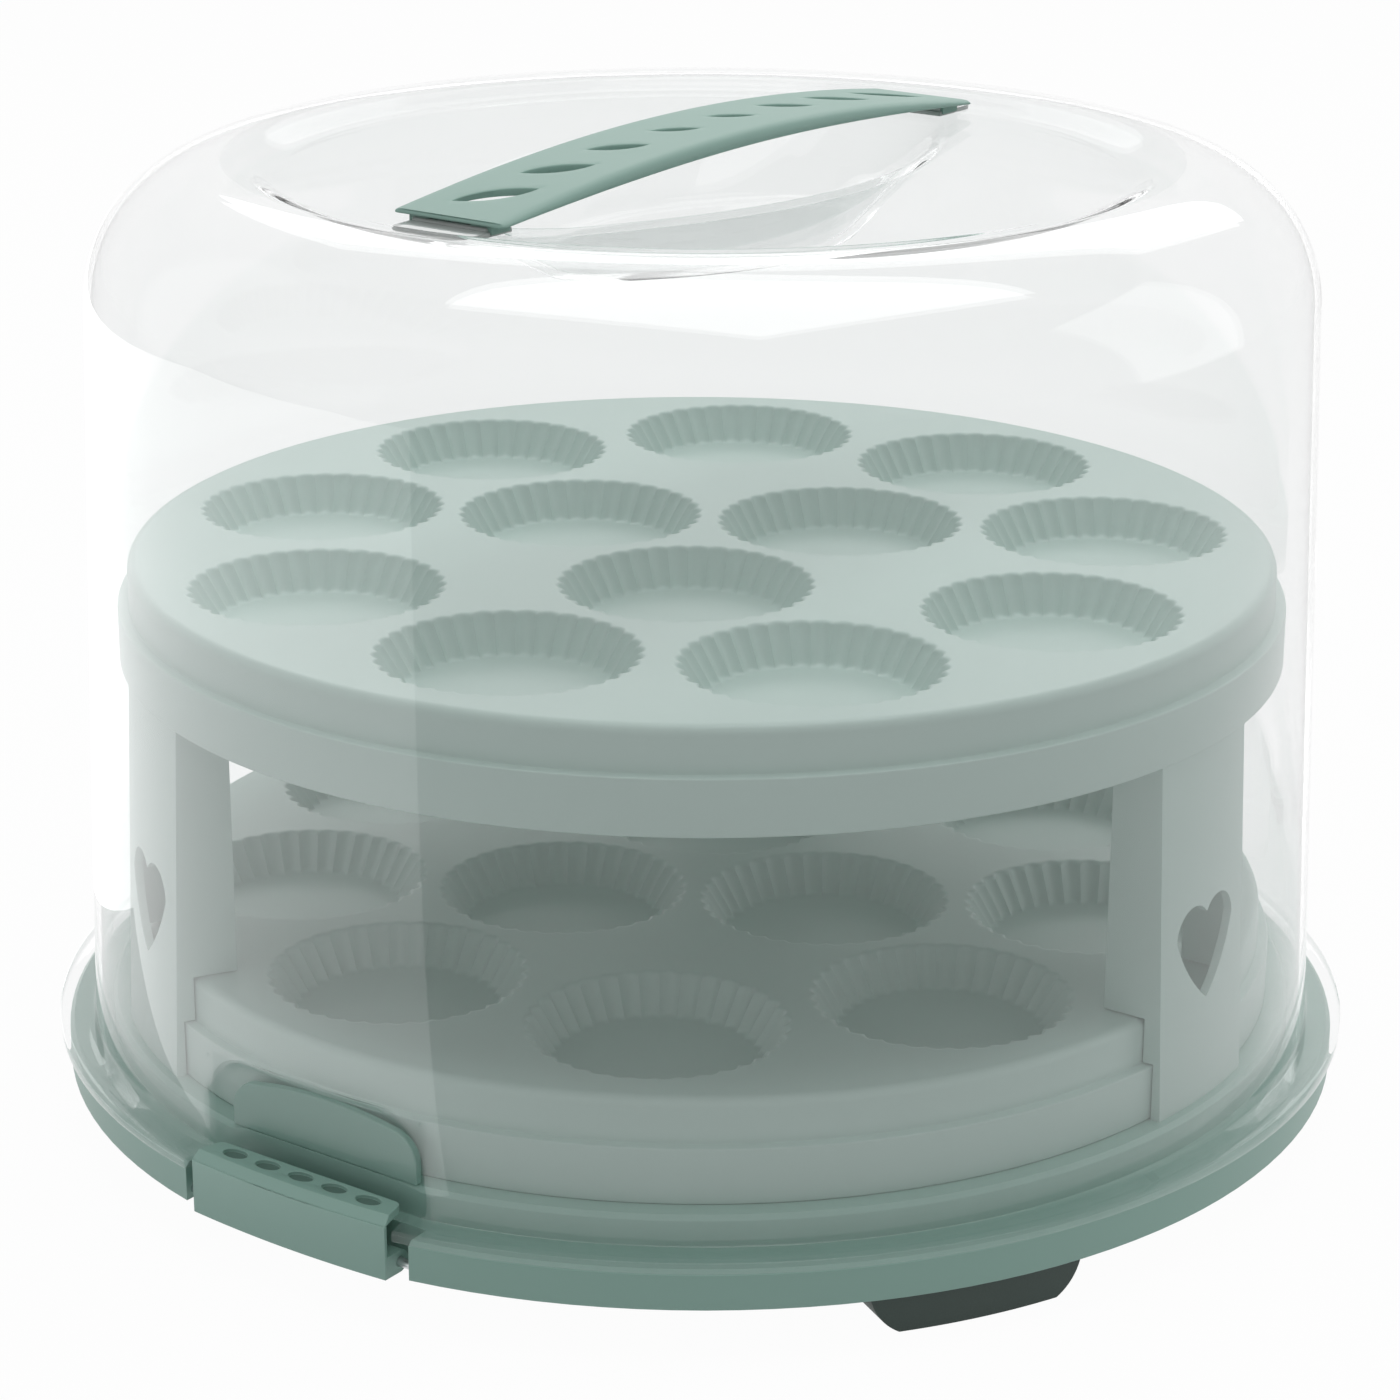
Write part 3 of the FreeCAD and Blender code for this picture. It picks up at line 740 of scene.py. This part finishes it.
@dataclass
class Hood:
    """The clear hood: beaded flange, leaning wall with two niches, round shoulder, dish and tongues."""

    flange_reach: float = 175.0
    flange_level: float = 23.5
    flange_top: float = 26.5
    flange_low_round: float = 0.7
    flange_high_round: float = 0.8
    bead_width: float = 2.6
    foot: float = 165.5
    lean: float = 6.3
    top: float = 255.0
    thickness: float = 1.8
    bend: float = 35.7
    dish_level: float = 251.2
    niche_reach: float = 160.2
    niche_half: float = 34.0
    niche_top: float = 51.0
    niche_corner: float = 14.0
    niche_edge: float = 3.6
    notch_reach: float = 162.2
    notch_turn: float = 10.8
    step_start: float = 120.5
    step_run: float = 11.0
    tongue_half: float = 12.2
    tongue_near: float = 94.5
    tongue_neck: float = 103.2
    tongue_far: float = 113.0
    scoop: Scoop = field(default_factory=Scoop)

    def azimuths(self) -> list[float]:
        """Where the wall's upright rows stand, close together at the niches."""
        side = np.concatenate([np.arange(0.0, 16.0, 0.25), np.linspace(16.0, 90.0, 51)])
        half = np.concatenate([side, 180.0 - side[-2::-1]])[:-1]
        return [float(azimuth) for azimuth in np.concatenate([half, half + 180.0])]

    def reach(self, level: float, azimuth: float) -> float:
        """How far the wall's outer face is from the middle axis.

        Args:
            level: The height.
            azimuth: The direction in degrees.

        Returns:
            The distance, less where a niche is pressed into the wall.
        """
        rise = self.top - self.bend - self.flange_top
        plain = self.foot - self.lean * (level - self.flange_top) / rise
        turn = math.radians((azimuth + 90.0) % 180.0 - 90.0)
        depth = max(plain - self.niche_reach / max(math.cos(turn), 0.01), 0.0)
        side = abs(plain * math.sin(turn)) - (self.niche_half - self.niche_corner)
        over = level - (self.niche_top - self.niche_corner)
        beyond = math.hypot(max(side, 0.0), max(over, 0.0)) + min(max(side, over), 0.0) - self.niche_corner
        share = min(max(0.5 - beyond / self.niche_edge, 0.0), 1.0)
        return plain - depth * share * share * (3 - 2 * share)

    def levels(self) -> list[float]:
        """The heights of the wall's rows, close together beside the niches."""
        return [28.0 + step for step in range(27)] + [58.0, 66.0, *range(80, 216, 15)]

    def outside(self, azimuth: float) -> list[Point]:
        """The outer section, from the flange's inner foot to the edge of the dish.

        Args:
            azimuth: The section's direction in degrees.

        Returns:
            Points of reach and height.
        """
        turn = abs((azimuth + 90.0) % 180.0 - 90.0)
        base = self.reach(28.0, azimuth)
        edge = self.flange_reach
        if turn < self.notch_turn:
            edge = self.notch_reach / math.cos(math.radians(turn))
        room = min((edge - base) / 6.0, 1.0)
        bead = edge - self.bead_width * room
        low, high = self.flange_level, self.flange_top
        points = [(base - self.thickness, low)]
        under, over = self.flange_low_round, self.flange_high_round
        points += corner_arc((edge - under, low + under), under, -90, 0, 3)
        points += corner_arc((edge - over, high - over), over, 0, 90, 5)
        points += [(bead, high), (bead - 0.5 * room, high - 0.06)]
        points += [(bead - room, high - 0.2), (bead - 1.4 * room, high - 0.25)]
        points += corner_arc((base + 1.3 * room, high + 0.95), 1.2 * room, 270, 200, 4)
        points += [(self.reach(level, azimuth), level) for level in self.levels()]
        points += self.shoulder(self.bend)
        return points + self.step(0.0)

    def shoulder(self, bend: float) -> list[Point]:
        """The round shoulder between the wall and the top.

        Args:
            bend: Its radius.

        Returns:
            Points of reach and height.
        """
        middle = (self.foot - self.lean - self.bend, self.top - self.bend)
        return corner_arc(middle, bend, 2, 90, 26)

    def step(self, drop: float) -> list[Point]:
        """The soft step from the hood's top down to its dish.

        Args:
            drop: How far the line lies below the outer face.

        Returns:
            Points of reach and height.
        """
        points = []
        for part in np.linspace(0.0, 1.0, 13):
            fallen = part * part * (3 - 2 * part) * (self.top - self.dish_level)
            reach = self.step_start - self.step_run * float(part)
            points.append((reach, self.top - float(fallen) - drop))
        return points

    def inside(self, azimuth: float) -> list[Point]:
        """The inner section, from above the flange's foot to the underside of the dish.

        Args:
            azimuth: The section's direction in degrees.

        Returns:
            Points of reach and height.
        """
        wall = self.thickness
        points = [(self.reach(level, azimuth) - wall, level) for level in self.levels()]
        points += self.shoulder(self.bend - wall)
        return points + self.step(wall)

    def shell(self) -> Piece:
        """Build the hood's one-piece shell.

        Returns:
            The shell.
        """
        solid = SolidMesh()
        columns = self.azimuths()
        outer = self.rows(solid, [self.outside(azimuth) for azimuth in columns], columns)
        inner = self.rows(solid, [self.inside(azimuth) for azimuth in columns], columns)
        solid.bridge(outer)
        solid.bridge([outer[0], *inner])
        wall = self.thickness
        solid.fill(outer[-1], [self.scoop.build(solid, self.dish_level, 0.0)])
        solid.fill(inner[-1], [self.scoop.build(solid, self.dish_level - wall, wall)])
        return solid.make("hood_shell", 50.0)

    @staticmethod
    def rows(solid: SolidMesh, sections: list[list[Point]], columns: list[float]) -> list[list[int]]:
        """Add sections that stand side by side.

        Args:
            solid: The mesh that they are added to.
            sections: One section of reach and height for each column.
            columns: The columns' azimuths.

        Returns:
            The numbers of the points, one level row after another.
        """
        rows = []
        for points in zip(*sections):
            row = [(*around(reach, turn), level) for (reach, level), turn in zip(points, columns)]
            rows.append(solid.ring(row))
        return rows

    def tongue(self, name: str, way: float) -> Piece:
        """Build the plate under one of the handle's ends, with a neck that carries the handle.

        Args:
            name: The plate's name.
            way: -1 for the front, 1 for the rear.

        Returns:
            The plate.
        """
        solid = SolidMesh()
        low = self.dish_level + 0.04
        steps = [(0.0, 0.0, low), (0.0, 0.0, low + 0.9), (0.15, 0.0, low + 1.15), (0.6, 0.0, low + 1.3)]
        neck = self.tongue_far - self.tongue_neck
        steps += [(0.5, neck - 0.5, low + 1.34), (0.5, neck, low + 2.1), (0.7, neck + 0.2, low + 2.2)]
        rings = []
        for inset, back, level in steps:
            half = self.tongue_half - inset
            corner = 5.5 - inset if back == 0.0 else 1.0
            far = self.tongue_far - inset - back
            plan = [(half, self.tongue_near + inset)]
            plan += corner_arc((half - corner, far - corner), corner, 0, 90, 6)
            plan += corner_arc((corner - half, far - corner), corner, 90, 180, 6)
            plan += [(-half, self.tongue_near + inset)]
            rings.append(solid.ring([(across, way * along, level) for across, along in plan]))
        solid.cap(rings[0])
        solid.bridge(rings)
        solid.cap(rings[-1])
        return solid.make(name)

    def soften_sheen(self, shell: bpy.types.Mesh) -> None:
        """Give the niches and the top a softer sheen than the wall.

        Args:
            shell: The shell's mesh.
        """
        shell.materials.append(Finishes.SOFT.material())
        for face in shell.polygons:
            middle = face.center / MM
            in_niche = abs(middle.x) < self.niche_half and middle.z < self.niche_top
            in_niche = in_niche and abs(middle.y) < self.niche_reach + 1
            on_top = middle.z > self.top - self.bend
            on_top = on_top and math.hypot(middle.x, middle.y) < self.step_start + 3
            if in_niche or on_top:
                face.material_index = 1

    def build(self) -> list[Piece]:
        """Build and dress the hood.

        Returns:
            The shell and the handle's two tongues.
        """
        pieces = [self.shell(), self.tongue("tongue_front", -1.0), self.tongue("tongue_rear", 1.0)]
        for piece in pieces:
            finish = Finishes.CLEAR if piece is pieces[0] else Finishes.TONGUE
            piece.data.materials.append(finish.material())
            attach(piece, "hood")
        self.soften_sheen(pieces[0].data)
        flange = [f"flange_{side}" for side in ("right", "left", "front", "rear")]
        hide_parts("dome", "scoop", *flange)
        return pieces


@dataclass
class Handle:
    """The arched carrying handle: rolled sides, thin ends and a row of slanted lens-shaped holes."""

    reach: float = 103.5
    half: float = 17.0
    corner: float = 1.5
    crown: float = 262.2
    bend: float = 737.4
    depth: float = 3.6
    skin: float = 3.0
    side: float = 2.6
    thin_end: float = 0.3
    taper: float = 2.5
    hole_pitch: float = 24.4
    hole_turn: float = 50.0
    hole_half: float = 6.3
    hole_width: float = 1.9
    half_step: float = 1.4
    width_step: float = 0.63
    tooth_near: float = 95.5
    tooth_far: float = 102.6
    tooth_half: float = 3.0
    tooth_place: float = 9.5
    tooth_level: float = 251.7

    def top(self, along: float, drop: float) -> float:
        """Height of a place on the handle.

        Args:
            along: Its distance from the handle's middle.
            drop: How far it lies below the top where the handle is thickest.

        Returns:
            The height, with the drop made smaller towards the thin ends.
        """
        share = 1.0 - (1.0 - self.thin_end) * min(abs(along) / self.reach, 1.0) ** self.taper
        return self.crown - self.bend + math.sqrt(self.bend * self.bend - along * along) - drop * share

    def outline(self, inset: float, drop: float) -> list[Place]:
        """The handle's edge in plan, bent along its arch.

        Args:
            inset: How far the line lies inside the edge.
            drop: How far it lies below the top.

        Returns:
            The points in order.
        """
        corner = max(self.corner - inset, 0.3)
        ends = min(inset, 0.5) if drop < self.depth else inset
        across = self.half - inset - corner
        along = self.reach - ends - corner
        plan = []
        corners = ((1, 1, 0, 12), (-1, 1, 90, 90), (-1, -1, 180, 12), (1, -1, 270, 90))
        for right, far, start, pieces in corners:
            plan += corner_arc((right * across, far * along), corner, start, start + 90, 4)
            run = 2 * across if pieces == 12 else 2 * along
            ahead = math.radians(start + 180)
            last = plan[-1]
            for step in range(1, pieces):
                gone = run * step / pieces
                plan.append((last[0] + gone * math.cos(ahead), last[1] + gone * math.sin(ahead)))
        return [(x, y, self.top(y, drop)) for x, y in plan]

    def hole(self, place: float, half: float, width: float, drop: float) -> list[Place]:
        """One hole's edge.

        Args:
            place: Where its middle is along the handle.
            half: Half its length.
            width: Half its width.
            drop: How far the line lies below the top.

        Returns:
            The points in order.
        """
        bend = (half * half + width * width) / (2 * width)
        turn = math.radians(self.hole_turn)
        points = []
        for index in range(40):
            angle = 2 * math.pi * index / 40
            run = half * math.cos(angle)
            out = math.copysign(math.sqrt(bend * bend - run * run) - bend + width, math.sin(angle))
            x = run * math.cos(turn) - out * math.sin(turn)
            y = place + run * math.sin(turn) + out * math.cos(turn)
            points.append((x, y, self.top(y, drop)))
        return points

    def holes(self) -> list[Place]:
        """Place, half length and half width of every hole."""
        sizes = []
        for count in range(8):
            step = abs(count - 3.5) - 0.5
            half = self.hole_half + step * self.half_step
            width = self.hole_width + step * self.width_step
            sizes.append(((count - 3.5) * self.hole_pitch, half, width))
        return sizes

    def between(self, solid: SolidMesh, drop: float, room: float) -> list[int]:
        """Add points between the holes, so that the faces follow the arch.

        Args:
            solid: The mesh that they are added to.
            drop: How far they lie below the handle's top.
            room: How far they keep from the handle's sides.

        Returns:
            The numbers of the points.
        """
        turn = math.radians(self.hole_turn)
        points = []
        for along in np.arange(3.0 - self.reach, self.reach - 2.0, 3.0):
            for across in np.linspace(room - self.half + 1.2, self.half - room - 1.2, 11):
                near = []
                for place, half, width in self.holes():
                    run = across * math.cos(turn) + (along - place) * math.sin(turn)
                    out = (along - place) * math.cos(turn) - across * math.sin(turn)
                    near.append((run / (half + 1.4)) ** 2 + (out / (width + 1.4)) ** 2)
                if min(near) > 1.0:
                    points.append((float(across), float(along), self.top(float(along), drop)))
        return solid.ring(points)

    def tooth(self, solid: SolidMesh, across: float, way: float) -> None:
        """Add one of the teeth that grip the hood under the handle's ends.

        Args:
            solid: The mesh that it is added to.
            across: Its place across the handle.
            way: -1 for the front end, 1 for the rear end.
        """
        near, far = self.tooth_near, self.tooth_far
        rims = []
        for deep in (False, True):
            points = []
            for side, along in ((-1, near), (1, near), (1, far), (-1, far)):
                level = self.tooth_level if deep else self.top(along, self.skin / 2)
                points.append((across + side * self.tooth_half, way * along, level))
            rims.append(solid.ring(points))
            solid.cap(rims[-1])
        solid.bridge(rims)

    def build(self) -> Piece:
        """Build and dress the handle.

        Returns:
            The handle.
        """
        solid = SolidMesh()
        edges = ((3.0, 0.0), (2.2, 0.14), (1.4, 0.5), (0.7, 1.05), (0.25, 1.75), (0.0, 2.6))
        edges += ((0.0, self.depth - 0.25), (0.25, self.depth))
        edges += ((self.side - 0.3, self.depth), (self.side, self.depth - 0.2), (self.side, self.skin))
        rings = [solid.ring(self.outline(inset, drop)) for inset, drop in edges]
        solid.bridge(rings)
        upper, lower = [], []
        for place, half, width in self.holes():
            steps = ((0.5, 0.0), (0.2, 0.1), (0.0, 0.4), (0.0, self.skin - 0.25), (0.2, self.skin))
            hole = []
            for grow, drop in steps:
                hole.append(solid.ring(self.hole(place, half + grow, width + grow, drop)))
            solid.bridge(hole)
            upper.append(hole[0])
            lower.append(hole[-1])
        solid.fill(rings[0], upper, self.between(solid, 0.0, 3.0))
        solid.fill(rings[-1], lower, self.between(solid, self.skin, self.side))
        for way in (-1.0, 1.0):
            self.tooth(solid, self.tooth_place, way)
            self.tooth(solid, -self.tooth_place, way)
        piece = solid.make("carrying_handle", 45.0)
        piece.data.materials.append(Finishes.HANDLE.material())
        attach(piece, "hood")
        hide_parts("handle")
        return piece


@dataclass(frozen=True)
class SoftLamp:
    """A soft lamp in metres and watts; its turn in degrees is counted from the camera's."""

    name: str
    turn: float
    reach: float
    height: float
    size: Point
    power: float


LAMPS = (
    SoftLamp("lamp_left", -88.0, 1.5, 0.75, (2.1, 1.7), 1.5),
    SoftLamp("lamp_right", 95.0, 1.7, 0.8, (1.0, 1.4), 2.4),
    SoftLamp("lamp_rear", 172.0, 1.5, 1.15, (1.6, 0.7), 4.0),
)
# each card's near and far edge to the left, then its low and high edge ahead, in metres
CARDS = ((-0.1, 0.5, 0.21, 1.3), (0.5, 1.3, -0.5, 1.3), (0.21, 0.5, -0.5, 0.21))


@dataclass
class Studio:
    """The white studio round the keeper: floor, lamps, light cards, world and camera."""

    turn: float = 35.7
    distance: float = 965.56
    height: float = 438.26
    pitch: float = 19.026
    roll: float = 0.205
    lens: float = 97.25
    shift: float = -0.00105
    ambient: float = 0.36
    veil: float = 1.1
    card_turn: float = -54.0
    white_share: float = 0.97

    def floor(self) -> None:
        """Lay a pale floor that looks white and keeps a soft shadow."""
        mesh = bpy.data.meshes.new("floor")
        half = 7.0
        corners = [(-half, -half, 0), (half, -half, 0), (half, half, 0), (-half, half, 0)]
        mesh.from_pydata(corners, [], [[0, 1, 2, 3]])
        piece = add_object("floor", mesh)
        made, sheet, shader = start_material("Studio floor")
        shader.inputs["Base Color"].default_value = (0.8, 0.81, 0.81, 1.0)
        shader.inputs["Roughness"].default_value = 0.9
        shader.inputs["Specular IOR Level"].default_value = 0.1
        glow = sheet.add("ShaderNodeEmission", Strength=1.0)
        sheet.blend(sheet.math("MULTIPLY", self.seen(sheet), self.white_share), shader, glow)
        mesh.materials.append(made)

    @staticmethod
    def seen(sheet: NodeSheet) -> Socket:
        """A mask of the rays that show the background: seen directly, mirrored or through the hood.

        Args:
            sheet: The tree that the nodes are added to.

        Returns:
            The mask's socket.
        """
        path = sheet.add("ShaderNodeLightPath")
        direct = sheet.math("MAXIMUM", path.outputs["Is Camera Ray"], path.outputs["Is Glossy Ray"])
        return sheet.math("MAXIMUM", direct, path.outputs["Is Transmission Ray"])

    def world(self) -> None:
        """Surround the scene with white, and light it with a dimmer grey."""
        made = bpy.data.worlds.new("Studio")
        made.use_nodes = True
        sheet = NodeSheet(made.node_tree)
        ground = made.node_tree.nodes["Background"]
        level = sheet.math("MULTIPLY_ADD", self.seen(sheet), 1.0 - self.ambient, self.ambient)
        sheet.join(level, ground.inputs["Strength"])
        ground.inputs["Color"].default_value = (1.0, 1.0, 1.0, 1.0)
        bpy.context.scene.world = made

    @staticmethod
    def lamp(name: str, size: Point, power: float) -> Piece:
        """Add one soft lamp.

        Args:
            name: The lamp's name.
            size: Its width and height in metres.
            power: Its power in watts.

        Returns:
            The lamp, not yet placed.
        """
        light = bpy.data.lights.new(name, "AREA")
        light.shape = "RECTANGLE"
        light.size, light.size_y = size
        light.energy = power
        return add_object(name, light)

    @staticmethod
    def point(lamp: Piece, place: Place, level: float) -> None:
        """Place a lamp and point it at the keeper's middle axis.

        Args:
            lamp: The lamp.
            place: Where it stands, in metres.
            level: The height that it points at.
        """
        lamp.location = place
        aim = Vector((0.0, 0.0, level)) - Vector(place)
        lamp.rotation_euler = aim.to_track_quat("-Z", "Y").to_euler()

    def lamps(self) -> None:
        """Place the soft lamps round the camera's line of sight."""
        for plan in LAMPS:
            across, along = around(plan.reach, self.turn + plan.turn)
            self.point(self.lamp(plan.name, plan.size, plan.power), (across, along, plan.height), 0.13)
        self.point(self.lamp("lamp_top", (1.5, 1.5), 12.0), (0.0, 0.15, 1.9), 0.1)

    def cards(self) -> None:
        """Lay light cards on the floor at the left, which only the hood's sheen shows."""
        turn = math.radians(self.turn + self.card_turn)
        ahead = Vector((math.sin(turn), -math.cos(turn), 0.0))
        left = Vector((-math.cos(turn), -math.sin(turn), 0.0))
        for number, (near, far, low, high) in enumerate(CARDS):
            middle = left * ((near + far) / 2) + ahead * ((low + high) / 2)
            middle.z = 0.003
            power = self.veil * math.pi * (far - near) * (high - low)
            card = self.lamp(f"card_{number}", (high - low, far - near), power)
            card.matrix_world = Matrix((ahead, left, ahead.cross(left))).transposed().to_4x4()
            card.matrix_world.translation = middle
            card.visible_camera = False
            card.visible_diffuse = False
            card.visible_transmission = False

    def camera(self) -> None:
        """Stand the camera where the picture was taken from."""
        turn, pitch, roll = (math.radians(angle) for angle in (self.turn, self.pitch, self.roll))
        ahead = Vector((-math.sin(turn), math.cos(turn), -math.tan(pitch))).normalized()
        level = Vector((math.cos(turn), math.sin(turn), 0.0))
        upright = level.cross(ahead)
        right = level * math.cos(roll) + upright * math.sin(roll)
        up = upright * math.cos(roll) - level * math.sin(roll)
        stand = Matrix((right, up, -ahead)).transposed().to_4x4()
        across, along = around(self.distance, self.turn)
        stand.translation = Vector((across, along, self.height)) * MM
        data = bpy.data.cameras.new("camera")
        data.lens = self.lens
        data.sensor_width = 36.0
        data.sensor_fit = "HORIZONTAL"
        data.shift_x = self.shift
        piece = add_object("camera", data)
        piece.matrix_world = stand
        bpy.context.scene.camera = piece

    def build(self) -> None:
        """Set up the whole studio."""
        bpy.context.scene.view_settings.view_transform = "Standard"
        self.floor()
        self.world()
        self.lamps()
        self.cards()
        self.camera()


def shade_dimples(mesh: bpy.types.Mesh) -> None:
    """Paint shade into the floors of a latch plate's grip dimples, as a darker and rougher mint.

    Args:
        mesh: The plate's mesh.
    """
    mesh.materials.append(Finishes.SHADE.material())
    top = max(vertex.co.z for vertex in mesh.vertices)
    for face in mesh.polygons:
        # flat faces just below the plate's top are the dimple floors, which get the painted shade
        if face.normal.z > 0.97 and 0.4 * MM < top - face.center.z < 1.2 * MM:
            face.material_index = 1


def dress_plain_pieces() -> list[Piece]:
    """Dress the solids whose CAD shape is kept.

    Returns:
        The dressed pieces.
    """
    plans = [("base_plate", "base", Finishes.MINT, 0.5)]
    plans += [(f"tab_{end}", "base", Finishes.MINT, 0.5) for end in ("front", "rear")]
    for end in ("front", "rear"):
        plans.append((f"latch_{end}", f"{end}_latch", Finishes.MINT, 0.35))
        plans.append((f"latch_arm_{end}", f"{end}_latch", Finishes.MINT, 0.35))
    plans += [(f"pin_{end}", "base", Finishes.STEEL, 0.2) for end in ("front", "rear")]
    for corner in ("right_front", "right_rear", "left_rear", "left_front"):
        plans.append((f"foot_{corner}", "base", Finishes.RUBBER, 0.6))
    for place in ("right", "left_rear", "left_front"):
        plans.append((f"pillar_{place}", "lower_tier", Finishes.PALE, 0.45))
    pieces = [DressedNode.build(*plan) for plan in plans]
    for piece in pieces:
        # the latch plates get painted shade in their dimples
        if piece.name.startswith(("latch_front", "latch_rear")):
            shade_dimples(piece.data)
    return pieces


def main() -> None:
    """Build the keeper and its studio."""
    pieces = dress_plain_pieces()
    pieces.append(FlutedTray("lower_tray", "lower_tier", 31.5, turn=60.0).build())
    pieces.append(FlutedTray("upper_tray", "upper_tier", 124.8).build())
    pieces += Hood().build()
    pieces.append(Handle().build())
    for piece in pieces:
        LOG.info("%s: %d faces", piece.name, len(piece.data.polygons))
    Studio().build()


if __name__ == "__main__":
    main()
